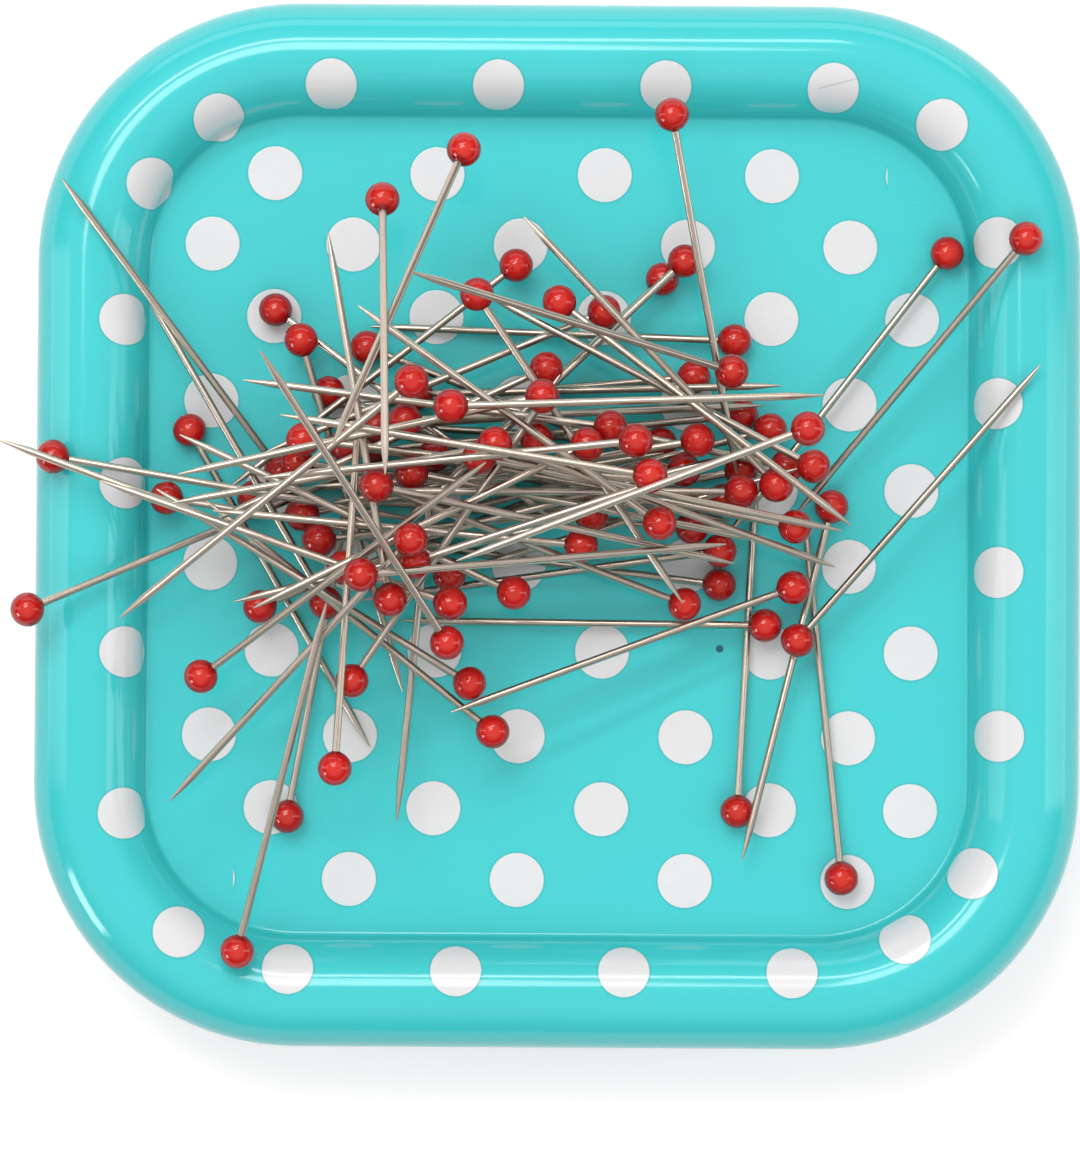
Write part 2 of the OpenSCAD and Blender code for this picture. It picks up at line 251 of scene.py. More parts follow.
class Look:
    """A material, or the sky, that is put together node by node."""

    def __init__(self, name, owner=None):
        self.material = owner or bpy.data.materials.new(name)
        self.material.use_nodes = True
        self.tree = self.material.node_tree
        self.tree.nodes.clear()

    def node(self, kind, settings=None, sockets=None):
        """Makes a node: its settings first, then the values or links of its sockets."""
        node = self.tree.nodes.new(kind)
        for name, value in (settings or {}).items():
            setattr(node, name, value)
        for key, value in (sockets or {}).items():
            if isinstance(value, Wire):
                self.tree.links.new(value.socket, node.inputs[key])
            else:
                node.inputs[key].default_value = value
        return Node(self, node)

    def place(self):
        """Where a point of the object lies, in metres."""
        return self.node("ShaderNodeTexCoord")["Object"]

    def parts(self, vector):
        node = self.node("ShaderNodeSeparateXYZ", sockets={0: vector})
        return node[0], node[1], node[2]

    def joined(self, x, y, z):
        return self.node("ShaderNodeCombineXYZ", sockets={0: x, 1: y, 2: z})[0]

    def stretched(self, vector, scale):
        return self.node("ShaderNodeVectorMath", {"operation": "MULTIPLY"},
                         {0: vector, 1: scale})[0]

    def away(self, vector, point):
        """How far a point lies from a fixed one."""
        return self.node("ShaderNodeVectorMath", {"operation": "DISTANCE"},
                         {0: vector, 1: point})["Value"]

    def noise(self, vector, scale, detail=2.0, roughness=0.5):
        """Even noise from 0 to 1."""
        return self.node("ShaderNodeTexNoise", {"noise_dimensions": "3D"}, {
            "Vector": vector, "Scale": scale, "Detail": detail, "Roughness": roughness})[0]

    def cells(self, vector, scale):
        """How far a point lies from the middle of its cell, in cells."""
        return self.node("ShaderNodeTexVoronoi", {"feature": "F1"}, {
            "Vector": vector, "Scale": scale})["Distance"]

    def named(self, name):
        """A value that the mesh carries at each of its points."""
        return self.node("ShaderNodeAttribute", {"attribute_name": name})

    def mixed(self, share, first, second):
        """A colour between two colours."""
        return self.node("ShaderNodeMix", {"data_type": "RGBA", "clamp_factor": True},
                         {0: share, 6: first, 7: second})[2]

    def raised(self, height, distance):
        """A normal tilted by a height that is given in shares of a distance."""
        return self.node("ShaderNodeBump", sockets={
            "Height": height, "Distance": distance, "Strength": 1.0})[0]

    def finish(self, **sockets):
        """Closes the material with a principled shader. A name's _ stands for a space."""
        named = {name.replace("_", " "): value for name, value in sockets.items()}
        shader = self.node("ShaderNodeBsdfPrincipled", sockets=named)
        self.node("ShaderNodeOutputMaterial", sockets={"Surface": shader[0]})
        return self.material


def paint(colour):
    return (*colour, 1.0)


# Sizes and colours that a user can change


class DishLook(bpy.types.PropertyGroup):
    """The moulded dish and its spots."""

    colour: bpy.props.FloatVectorProperty(
        name="Plastic", description="Colour of the dish", subtype="COLOR", size=3,
        min=0.0, max=1.0, default=(0.055, 0.60, 0.615))
    spot_colour: bpy.props.FloatVectorProperty(
        name="Spots", description="Colour of the printed spots", subtype="COLOR", size=3,
        min=0.0, max=1.0, default=(0.75, 0.74, 0.75))
    spot_radius: bpy.props.FloatProperty(
        name="Spot radius", description="Radius of one printed spot", unit="LENGTH",
        precision=5, default=2.115 * MM)
    spot_shift: bpy.props.FloatVectorProperty(
        name="Spot shift", description="How far the print sits off the dish's middle",
        subtype="TRANSLATION", size=2, default=(0.24 * MM, -0.32 * MM))
    floor_shift: bpy.props.FloatProperty(
        name="Floor shift", description="How much farther back the print sits on the floor",
        unit="LENGTH", precision=5, default=0.24 * MM)
    corner: bpy.props.FloatProperty(
        name="Corner radius", description="Radius of the dish's outer corners, from above",
        unit="LENGTH", precision=5, default=20.6 * MM)
    rim: bpy.props.FloatProperty(
        name="Rim radius", description="Radius of the rounded rim, in section",
        unit="LENGTH", precision=5, default=4.2 * MM)
    bowl_depth: bpy.props.FloatProperty(
        name="Bowl depth", description="From the top of the rim down to the floor",
        unit="LENGTH", precision=5, default=5.6 * MM)
    wall: bpy.props.FloatProperty(
        name="Wall", description="Thickness of the wall and the floor",
        unit="LENGTH", precision=5, default=1.6 * MM)
    wall_lean: bpy.props.FloatProperty(
        name="Wall lean", description="How far the bowl's wall leans in towards the floor",
        unit="LENGTH", precision=5, default=0.2 * MM)
    fillet: bpy.props.FloatProperty(
        name="Floor fillet", description="Radius where the floor meets the wall",
        unit="LENGTH", precision=5, default=0.4 * MM)
    base_draw: bpy.props.FloatProperty(
        name="Base draw", description="How far the outside draws in towards the base",
        unit="LENGTH", precision=5, default=2.5 * MM)


class BaseLook(bpy.types.PropertyGroup):
    """The pieces under the bowl's floor."""

    cover_colour: bpy.props.FloatVectorProperty(
        name="Cover", description="Colour of the base cover", subtype="COLOR", size=3,
        min=0.0, max=1.0, default=(0.04, 0.47, 0.49))
    pad_colour: bpy.props.FloatVectorProperty(
        name="Pad", description="Colour of the anti-slip pad", subtype="COLOR", size=3,
        min=0.0, max=1.0, default=(0.035, 0.04, 0.045))
    ferrite_colour: bpy.props.FloatVectorProperty(
        name="Ferrite", description="Colour of the magnets", subtype="COLOR", size=3,
        min=0.0, max=1.0, default=(0.055, 0.055, 0.06))
    zinc_colour: bpy.props.FloatVectorProperty(
        name="Zinc", description="Colour of the keeper plate and the screws", subtype="COLOR",
        size=3, min=0.0, max=1.0, default=(0.62, 0.63, 0.65))


class PinLook(bpy.types.PropertyGroup):
    """The pins."""

    glass_colour: bpy.props.FloatVectorProperty(
        name="Glass", description="Colour of the glass heads", subtype="COLOR", size=3,
        min=0.0, max=1.0, default=(0.58, 0.011, 0.010))
    steel_colour: bpy.props.FloatVectorProperty(
        name="Steel", description="Colour of the shafts", subtype="COLOR", size=3,
        min=0.0, max=1.0, default=(0.60, 0.515, 0.44))
    head_radius: bpy.props.FloatProperty(
        name="Head radius", description="Radius of a glass head", unit="LENGTH",
        precision=5, default=1.35 * MM)
    shaft_radius: bpy.props.FloatProperty(
        name="Shaft radius", description="Radius of a shaft", unit="LENGTH",
        precision=5, default=0.3 * MM)
    seat: bpy.props.FloatProperty(
        name="Seat", description="How deep a shaft reaches into its head", unit="LENGTH",
        precision=5, default=2.0 * MM)
    point: bpy.props.FloatProperty(
        name="Point", description="Length of the ground point", unit="LENGTH",
        precision=5, default=2.6 * MM)
    tip_radius: bpy.props.FloatProperty(
        name="Tip radius", description="Radius at the very end of the point", unit="LENGTH",
        precision=5, default=0.05 * MM)
    unevenness: bpy.props.FloatProperty(
        name="Unevenness", description="How much the heads differ from a true ball",
        subtype="FACTOR", min=0.0, max=0.1, default=0.035)


class StageLook(bpy.types.PropertyGroup):
    """The camera, the lamps and the table."""

    distance: bpy.props.FloatProperty(
        name="Distance", description="From the camera to the widest line of the dish",
        unit="LENGTH", default=0.56)
    elevation: bpy.props.FloatProperty(
        name="Elevation", description="How high the camera looks down from",
        subtype="ANGLE", default=math.radians(88))
    roll: bpy.props.FloatProperty(
        name="Roll", description="How far the camera is turned about its own line of sight",
        subtype="ANGLE", default=math.radians(0.35))
    aim: bpy.props.FloatVectorProperty(
        name="Aim", description="Point that the camera looks at", subtype="TRANSLATION",
        size=3, default=(-1.26 * MM, -4.0 * MM, 11.8 * MM))
    view_height: bpy.props.FloatProperty(
        name="View height", description="Height of the picture at the aim", unit="LENGTH",
        precision=5, default=90.5 * MM)
    key: bpy.props.FloatProperty(
        name="Key lamp", description="Power of the lamp above the back", subtype="POWER",
        default=0.68)
    side: bpy.props.FloatProperty(
        name="Side lamps", description="Power of each lamp at the side", subtype="POWER",
        default=0.45)
    back: bpy.props.FloatProperty(
        name="Back lamp", description="Power of the low lamp behind the dish", subtype="POWER",
        default=0.8)
    fill: bpy.props.FloatProperty(
        name="Front fill", description="Power of the soft lamp at the front, kept out of gloss",
        subtype="POWER", default=0.85)
    top: bpy.props.FloatProperty(
        name="Top lamp", description="Power of the small soft box nearly overhead",
        subtype="POWER", default=0.90)
    window: bpy.props.FloatProperty(
        name="Window lamp", description="Power of the small lamp at the front left",
        subtype="POWER", default=0.8)
    sky: bpy.props.FloatProperty(
        name="Sky", description="Strength of the even light from overhead",
        subtype="FACTOR", min=0.0, max=2.0, default=0.74)
    wall_level: bpy.props.FloatProperty(
        name="Walls", description="Strength of the light from the sides of the room",
        subtype="FACTOR", min=0.0, max=2.0, default=0.16)
    ceiling_edge: bpy.props.FloatProperty(
        name="Ceiling edge", description="Sine of the height at which the room starts to brighten",
        subtype="FACTOR", min=0.0, max=1.0, default=0.42)
    table_colour: bpy.props.FloatVectorProperty(
        name="Table", description="Colour of the table", subtype="COLOR", size=3,
        min=0.0, max=1.0, default=(0.62, 0.62, 0.62))


LOOKS = {
    "dish_look": DishLook,
    "base_look": BaseLook,
    "pin_look": PinLook,
    "stage_look": StageLook,
}


# Meshes


def mesh_object(name, points, faces):
    """A smooth mesh object with hard edges where its faces turn sharply."""
    mesh = bpy.data.meshes.new(name)
    mesh.from_pydata([tuple(p) for p in points], [], faces)
    mesh.validate()
    mesh.shade_smooth()
    mesh.set_sharp_from_angle(angle=SHARP_TURN)
    made = bpy.data.objects.new(name, mesh)
    bpy.context.scene.collection.objects.link(made)
    return made


def join_rings(faces, first, second, count):
    """Quads between two closed rings of points, which start at these numbers."""
    for k in range(count):
        after = (k + 1) % count
        faces.append((first + k, first + after, second + after, second + k))


def arc(centre, radius, start, end, steps):
    """Points of an arc in section, with angles in degrees from +u towards +z."""
    turn = np.radians(np.linspace(start, end, steps + 1))
    return [(centre[0] + radius * math.cos(a), centre[1] + radius * math.sin(a)) for a in turn]


class DishShape:
    """The dish's sizes, worked out from its packed box and its look."""

    def __init__(self, look):
        low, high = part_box(DISH_NODE)
        self.corner_at = (high.x - low.x) / 2 - look.corner
        self.top = high.z
        self.foot = low.z
        self.crest_u = look.corner - look.rim
        self.crest_z = self.top - look.rim
        self.wall_u = self.crest_u - look.rim
        self.floor_u = self.wall_u - look.wall_lean
        self.floor_z = self.top - look.bowl_depth
        self.under_z = self.floor_z - look.wall
        self.base_u = look.corner - look.base_draw
        self.look = look

    def outward(self, x, y):
        """How far a place lies outside the lines that join the corner centres."""
        over_x = abs(x) - self.corner_at
        over_y = abs(y) - self.corner_at
        if over_x > 0 and over_y > 0:
            return math.hypot(over_x, over_y)
        return max(over_x, over_y)

    def rim_height(self, x, y):
        """Height of the rounded rim at a place from above."""
        off = self.outward(x, y) - self.crest_u
        return self.crest_z + math.sqrt(max(self.look.rim ** 2 - off ** 2, 0))

    def section(self):
        """The closed line round the section, from the floor out over the rim and back inside."""
        look = self.look
        inner_rim = look.rim - look.wall
        line = [(u * MM, self.floor_z) for u in FLOOR_RINGS]
        line += arc((self.floor_u - look.fillet, self.floor_z + look.fillet), look.fillet,
                    -90, 0, FILLET_STEPS)
        line.append((self.wall_u - look.wall_lean * 0.5, (self.floor_z + self.crest_z) / 2))
        line += arc((self.crest_u, self.crest_z), look.rim, 180, 0, RIM_STEPS)
        for share in OUTSIDE_SHARES:
            line.append((look.corner - look.base_draw * share,
                         self.crest_z + (self.foot - self.crest_z) * share))
        line.append((self.base_u - look.wall, self.foot))
        line += arc((self.crest_u, self.crest_z), inner_rim, 0, 180, INNER_RIM_STEPS)
        line.append((self.wall_u + look.wall, self.under_z))
        line += [(u * MM, self.under_z) for u in UNDER_RINGS]
        return line

    def corner(self, quarter):
        """The centre of one round corner. They are counted round from the back right one."""
        sign_x, sign_y = ((1, 1), (-1, 1), (-1, -1), (1, -1))[quarter % 4]
        return sign_x * self.corner_at, sign_y * self.corner_at

    def ring(self, u, z):
        """A square ring with round corners, at a distance out and a height."""
        points = []
        for quarter in range(4):
            turn = quarter * math.pi / 2
            centre_x, centre_y = self.corner(quarter)
            for k in range(CORNER_STEPS):
                angle = turn + math.pi / 2 * k / CORNER_STEPS
                points.append((centre_x + u * math.cos(angle), centre_y + u * math.sin(angle), z))
            end = turn + math.pi / 2
            side_x, side_y = centre_x + u * math.cos(end), centre_y + u * math.sin(end)
            next_x, next_y = self.corner(quarter + 1)
            for k in range(SIDE_STEPS):
                share = k / SIDE_STEPS
                points.append((side_x + (next_x - centre_x) * share,
                               side_y + (next_y - centre_y) * share, z))
        return points


def tube(points, faces, centre, inner, outer, low, high):
    """Adds a standing tube, closed at both ends, to a mesh in the making."""
    rings = []
    for radius, z in ((inner, low), (outer, low), (outer, high), (inner, high)):
        rings.append(len(points))
        for k in range(BOSS_STEPS):
            angle = 2 * math.pi * k / BOSS_STEPS
            points.append((centre[0] + radius * math.cos(angle),
                           centre[1] + radius * math.sin(angle), z))
    for k, first in enumerate(rings):
        join_rings(faces, first, rings[(k + 1) % len(rings)], BOSS_STEPS)


def close_flat(points, faces, first, count, up):
    """Closes a flat ring that starts at a point, with smaller rings and a point in the middle."""
    before = first
    ring = points[first:first + count]
    z = ring[0][2]
    for share in MIDDLE_SHARES:
        start = len(points)
        points += [(x * share, y * share, z) for x, y, _ in ring]
        join_rings(faces, *((before, start) if up else (start, before)), count)
        before = start
    points.append((0, 0, z))
    for k in range(count):
        pair = (before + k, before + (k + 1) % count)
        faces.append((*(pair if up else reversed(pair)), len(points) - 1))


def make_dish(look):
    """The dish as one closed skin, with the bosses under its floor."""
    shape = DishShape(look)
    points = []
    faces = []
    starts = []
    section = shape.section()
    for u, z in section:
        starts.append(len(points))
        points += shape.ring(u, z)
    count = len(points) // len(section)
    for first, second in zip(starts, starts[1:]):
        join_rings(faces, second, first, count)
    close_flat(points, faces, starts[0], count, up=True)
    close_flat(points, faces, starts[-1], count, up=False)
    boss_high = shape.under_z - HAIR
    for x in (-BOSS_AT, BOSS_AT):
        for y in (-BOSS_AT, BOSS_AT):
            tube(points, faces, (x, y), THREAD_RADIUS, BOSS_RADIUS, BOSS_LOW, boss_high)
    return mesh_object("dish", points, faces)


def islands(node):
    """The separate solids of a node, each as an array of its points."""
    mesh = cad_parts[node].data
    co = np.array([v.co for v in mesh.vertices], float)
    keys = {}
    merged = [keys.setdefault(tuple(np.round(p / WELD).astype(int)), len(keys)) for p in co]
    parent = list(range(len(keys)))

    def top(k):
        while parent[k] != k:
            parent[k] = parent[parent[k]]
            k = parent[k]
        return k

    for polygon in mesh.polygons:
        corners = [merged[v] for v in polygon.vertices]
        for other in corners[1:]:
            parent[top(other)] = top(corners[0])
    groups = {}
    for k, key in enumerate(merged):
        groups.setdefault(top(key), []).append(co[k])
    return [np.array(group) for _, group in sorted(groups.items())]


def pin_line(shaft):
    """Where a shaft's blunt end and its tip are."""
    middle = shaft.mean(axis=0)
    along = np.linalg.svd(shaft - middle, full_matrices=False)[2][0]
    far = (shaft - middle) @ along
    ends = []
    for end in (far.min(), far.max()):
        near = shaft[np.abs(far - end) < END_SLICE]
        centre = near.min(axis=0) / 2 + near.max(axis=0) / 2
        ends.append((np.linalg.norm(near - centre, axis=1).max(), centre))
    ends.sort(key=lambda e: e[0])
    return Vector(ends[1][1]), Vector(ends[0][1])


def lathe(points, faces, marks, start, along, profile, count, mark):
    """Adds a turned solid to a mesh in the making.

    The profile is a list of (distance along, radius) and closes on the axis at both ends.
    marks takes one (distance along, turn, mark) for each point."""
    side = along.orthogonal().normalized()
    other = along.cross(side)
    rings = []
    for t, radius in profile:
        rings.append((len(points), radius == 0))
        if radius == 0:
            points.append(start + along * t)
            marks.append((t, 0.0, mark))
            continue
        for k in range(count):
            angle = 2 * math.pi * k / count
            spoke = side * math.cos(angle) + other * math.sin(angle)
            points.append(start + along * t + spoke * radius)
            marks.append((t, angle, mark))
    for (first, first_pole), (second, second_pole) in zip(rings, rings[1:]):
        if first_pole:
            faces += [(first, second + (k + 1) % count, second + k) for k in range(count)]
        elif second_pole:
            faces += [(first + k, first + (k + 1) % count, second) for k in range(count)]
        else:
            join_rings(faces, first, second, count)


def uneven(number, turn):
    """An even spread of shares from 0 to 1, one for each pin."""
    return (number * GOLDEN + turn * (1 - GOLDEN)) % 1.0


def head_profile(look, long, wide):
    """A glass head: a ball, a little long or flat, drawn down onto its shaft."""
    radius = look.head_radius
    neck = look.shaft_radius + 0.08 * MM
    bore = look.shaft_radius + HAIR
    profile = [(-radius * long, 0.0)]
    last = math.acos(neck * 1.25 / (radius * wide))
    for k in range(1, HEAD_RINGS + 1):
        angle = -math.pi / 2 + (last + math.pi / 2) * k / HEAD_RINGS
        profile.append((radius * long * math.sin(angle), radius * wide * math.cos(angle)))
    end = profile[-1][0]
    profile += [(end + COLLAR / 2, neck * 1.08), (end + COLLAR, neck)]
    profile.append((end + COLLAR + COLLAR_STEP, bore))
    seat_end = -(look.seat - radius) + 2 * HAIR
    profile += [(seat_end, bore), (seat_end, 0.0)]
    return profile


def shaft_profile(look, length):
    """A shaft from its blunt end in the head to its ground point."""
    radius = look.shaft_radius
    cone = length - look.point
    profile = [(0.0, 0.0), (0.0, radius), (cone * 0.5, radius), (cone, radius)]
    for k in range(1, POINT_RINGS + 1):
        share = k / POINT_RINGS
        width = (1 - share) ** POINT_TAPER
        profile.append((cone + look.point * share,
                        look.tip_radius + (radius - look.tip_radius) * width))
    profile.append((length, 0.0))
    return profile


def write_values(made, name, values):
    """Keeps a value for each point with the mesh."""
    made.data.attributes.new(name, "FLOAT", "POINT").data.foreach_set("value", values)


def write_marks(made, marks):
    """Keeps the distance along the pin, the turn round it and its tone with the mesh."""
    t, turn, tone = np.array(marks, float).T
    values = np.stack((t / MM, np.cos(turn), np.sin(turn)), axis=1)
    made.data.attributes.new("along", "FLOAT_VECTOR", "POINT").data.foreach_set(
        "vector", values.ravel())
    write_values(made, "tone", tone)


def make_pins(look, name, first_number):
    """The shafts and the heads of the pins in one set, as two pieces.

    A head's crown is how far up its surface looks: 1 on top, 0 at its side. The glass's painted shade and
    painted highlight follow it."""
    plural = "s" if name in HEAP_SETS else ""
    shaft_node, head_node = f"{name}_shaft{plural}", f"{name}_head{plural}"
    steel = ([], [], [])
    glass = ([], [], [])
    crowns = []
    for number, shaft in enumerate(islands(shaft_node), first_number):
        blunt, tip = pin_line(shaft)
        along = (tip - blunt).normalized()
        centre = blunt + along * (look.seat - look.head_radius)
        tone = uneven(number, 0)
        profile = shaft_profile(look, (tip - blunt).length)
        lathe(*steel, blunt, along, profile, SHAFT_STEPS, tone)
        long = 1 - look.unevenness * uneven(number, 1)
        wide = 1 - look.unevenness * uneven(number, 2) * 0.6
        first = len(glass[0])
        lathe(*glass, centre, along, head_profile(look, long, wide), HEAD_STEPS, tone)
        crowns += [(point - centre).normalized().z for point in glass[0][first:]]
    made = []
    for kind, node, (points, faces, marks) in (("steel", shaft_node, steel),
                                               ("glass", head_node, glass)):
        piece = mesh_object(f"{name}_{kind}", points, faces)
        write_marks(piece, marks)
        if kind == "glass":
            write_values(piece, "crown", crowns)
        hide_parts(node)
        made.append(piece)
    return made


# Materials


def nearest(value, places):
    """How far a value lies from the nearest of some places."""
    gap = None
    for place in places:
        here = abs(value - place)
        gap = here if gap is None else gap.least(here)
    return gap


def spots_mask(ink, look, shape):
    """1 on the printed spots of the floor and the rim, and 1 on them and their dark edge."""
    place = ink.place()
    x, y, z = ink.parts(place)
    shift_x, shift_y = look.spot_shift
    x_mm = (x - shift_x) / MM
    y_mm = (y - shift_y - look.floor_shift) / MM
    ragged = (ink.noise(place, 2600.0, 2.0) - 0.5) * SPOT_RAGGED
    radius = look.spot_radius / MM

    across, back = abs(x_mm), abs(y_mm)
    columns = [nearest(across, SPOT_COLUMNS[k::2]) for k in (0, 1)]
    rows = [nearest(back, SPOT_ROWS[k::2]) for k in (0, 1)]

    def gap(column, row):
        return (column * column + row * row).root()

    alike = gap(columns[0], rows[0]).least(gap(columns[1], rows[1]))
    crossed = gap(columns[0], rows[1]).least(gap(columns[1], rows[0]))
    same_side = x_mm * y_mm > 0
    floor_gap = alike * same_side + crossed * (1 - same_side)
    on_floor = (z < shape.floor_z + look.fillet * 0.4) * (z > shape.floor_z - 0.3 * MM)
    on_floor = on_floor * (1 - (across > CORNER_SPOT) * (back > CORNER_SPOT))

    rim_gap = None
    flat = ink.stretched(place, (1.0, 1.0, RIM_LEAN))
    for spot_x, spot_y in RIM_SPOTS:
        for turn in (1, -1):
            centre_x = turn * spot_x * MM + shift_x
            centre_y = turn * spot_y * MM + shift_y
            height = shape.rim_height(centre_x, centre_y)
            here = ink.away(flat, (centre_x, centre_y, height * RIM_LEAN))
            rim_gap = here if rim_gap is None else rim_gap.least(here)
    floor_gap = floor_gap + ragged
    rim_gap = rim_gap / MM + ragged + radius * RIM_SHRINK

    def within(reach, soft):
        return (floor_gap.inside(reach, soft) * on_floor).most(rim_gap.inside(reach, soft))

    return within(radius, SPOT_SOFT), within(radius + LINE_REACH, LINE_SOFT)


def scratch_mask(ink, centre, turn, half_long, half_wide):
    """1 along one short straight scratch, seen from above. Sizes are in millimetres."""
    x, y, _ = ink.parts(ink.place())
    over_x = x / MM - centre[0]
    over_y = y / MM - centre[1]
    along = over_x * math.cos(turn) + over_y * math.sin(turn)
    across = over_y * math.cos(turn) - over_x * math.sin(turn)
    return abs(along).inside(half_long, 0.4) * abs(across).inside(half_wide, 0.05)


def spotted_plastic(look):
    """Glossy moulded plastic with printed spots, a few scuffs and faint flow marks."""
    ink = Look("spotted_plastic")
    shape = DishShape(look)
    place = ink.place()
    spots, edged = spots_mask(ink, look, shape)
    cloud = ink.noise(place, 38.0, 3.0)
    grain = ink.noise(place, 900.0, 3.0, 0.6)
    plastic = Vector(look.colour)
    base = ink.mixed(cloud, paint(plastic * 0.95), paint(plastic * 1.05))
    white = Vector(look.spot_colour)
    spot = ink.mixed(grain, paint(white * 0.97), paint(white * 1.03))
    base = ink.mixed(edged, base, paint(plastic * 0.80))
    colour = ink.mixed(spots, base, spot)
    scratch = scratch_mask(ink, SCRATCH_AT, SCRATCH_TURN, *SCRATCH_HALF) * 0.5
    colour = ink.mixed(scratch, colour, SCRATCH_COLOUR)
    speck_x, speck_y = SPECK_AT
    speck = ink.away(place, (speck_x * MM, speck_y * MM, shape.floor_z)) / MM
    colour = ink.mixed(speck.inside(0.3, 0.12), colour, SPECK_COLOUR)
    scuff_x = ink.noise(ink.stretched(place, (60.0, 2200.0, 400.0)), 1.0, 4.0, 0.7)
    scuff_y = ink.noise(ink.stretched(place, (1900.0, 70.0, 400.0)), 1.0, 4.0, 0.7)
    scuffs = ((scuff_x.most(scuff_y) - 0.66) * 4).clamped()
    roughness = 0.10 + scuffs * 0.10 + spots * 0.05 + cloud * 0.03
    height = spots * 0.35 + grain * 0.05 - scuffs * 0.12 - scratch * 0.5
    return ink.finish(
        Base_Color=colour, Roughness=roughness, IOR=1.49,
        Normal=ink.raised(height, 0.02 * MM))


def matt_plastic(look):
    """The spark-eroded surface of the base cover."""
    ink = Look("matt_plastic")
    place = ink.place()
    pits = ink.noise(place, 3200.0, 3.0, 0.65)
    cloud = ink.noise(place, 45.0, 3.0)
    colour = Vector(look.cover_colour)
    base = ink.mixed(cloud, paint(colour * 0.9), paint(colour * 1.08))
    return ink.finish(
        Base_Color=base, Roughness=0.42 + pits * 0.2, IOR=1.49,
        Normal=ink.raised(pits, 0.03 * MM))


def foam_rubber(look):
    """Closed-cell foam with fine open pores and a little dust."""
    ink = Look("foam_rubber")
    place = ink.place()
    pores = ink.cells(place, 2400.0)
    dust = ((ink.noise(place, 320.0, 4.0, 0.7) - 0.55) * 4).clamped()
    colour = Vector(look.pad_colour)
    base = ink.mixed(dust * 0.35, paint(colour), DUST_COLOUR)
    return ink.finish(
        Base_Color=base, Roughness=0.86 - pores * 0.15, IOR=1.45,
        Normal=ink.raised(pores, 0.08 * MM))


def fired_ferrite(look):
    """Ground ferrite: dark, dull, with grinding lines and tiny chips."""
    ink = Look("fired_ferrite")
    place = ink.place()
    lines = ink.noise(ink.stretched(place, (120.0, 3600.0, 3600.0)), 1.0, 3.0, 0.6)
    chips = ink.cells(place, 420.0).inside(0.13, 0.08)
    colour = Vector(look.ferrite_colour)
    base = ink.mixed(lines, paint(colour * 0.8), paint(colour * 1.3))
    return ink.finish(
        Base_Color=base, Roughness=0.5 + lines * 0.15, Metallic=0.35,
        Normal=ink.raised(lines * 0.5 - chips, 0.02 * MM))


def zinc_plate(look):
    """Bright zinc with its faint spangle and fine rolling lines."""
    ink = Look("zinc_plate")
    place = ink.place()
    spangle = ink.cells(place, 260.0)
    lines = ink.noise(ink.stretched(place, (90.0, 5200.0, 5200.0)), 1.0, 3.0, 0.6)
    colour = Vector(look.zinc_colour)
    base = ink.mixed(spangle, paint(colour * 1.05), paint(colour * 0.85))
    return ink.finish(
        Base_Color=base, Metallic=1.0, Roughness=0.26 + lines * 0.14 + spangle * 0.06,
        Normal=ink.raised(lines, 0.004 * MM))


def painted_heap_shade(ink, colour, base):
    """A pin's colour with painted shade: darker low down in the middle of the heap, where the pins shade
    each other.
    """
    x, y, z = ink.parts(ink.place())
    across = (x / MM - HEAP_MIDDLE[0]) / HEAP_HALF[0]
    back = (y / MM - HEAP_MIDDLE[1]) / HEAP_HALF[1]
    middle = (1.0 - across * across - back * back).clamped()
    depth = (1.0 - z / (HEAP_TOP * MM)).clamped()
    return ink.mixed(middle * depth * 1.5, base, paint(colour * 0.16))


def red_glass(look):
    """Opaque glass, glossy and a little streaked. Painted shade darkens each head's sides and its neck
    round the shaft, a painted highlight warms its top, and painted shade darkens it low in the heap.
    """
    ink = Look("red_glass")
    along = ink.named("along")["Vector"]
    tone = ink.named("tone")["Fac"]
    t, turn_x, turn_y = ink.parts(along)
    streaks = ink.noise(ink.joined(t * 0.9, turn_x * 0.8 + tone * 37, turn_y * 0.8), 2.2, 3.0)
    colour = Vector(look.glass_colour)
    crown = ink.named("crown")["Fac"]
    base = ink.mixed(streaks * 0.4 + tone * 0.6, paint(colour * 0.72), paint(colour * 1.12))
    # Painted highlight: the top of each head turns a warmer, brighter red.
    base = ink.mixed((crown * 5.0 - 4.0).clamped() * 0.4, base, GLASS_PAINTED_HIGHLIGHT)
    # Painted shade: each head turns a darker red towards its sides and underside, as if lit from above.
    painted_shade_red = paint(colour * 0.42)
    base = ink.mixed((crown * 1.2 + 0.02).clamped(), painted_shade_red, base)
    # Painted shade low down in the middle of the heap.
    base = painted_heap_shade(ink, colour, base)
    # Painted shade at the neck, where the shaft goes into the head.
    base = ink.mixed((t - 1.12).inside(0.0, 0.16), painted_shade_red, base)
    ripple = ink.noise(ink.joined(t, turn_x + tone * 11, turn_y), 1.3, 1.0)
    return ink.finish(
        Base_Color=base, Roughness=0.06 + streaks * 0.05, IOR=1.48,
        Normal=ink.raised(ripple, 0.03 * MM))


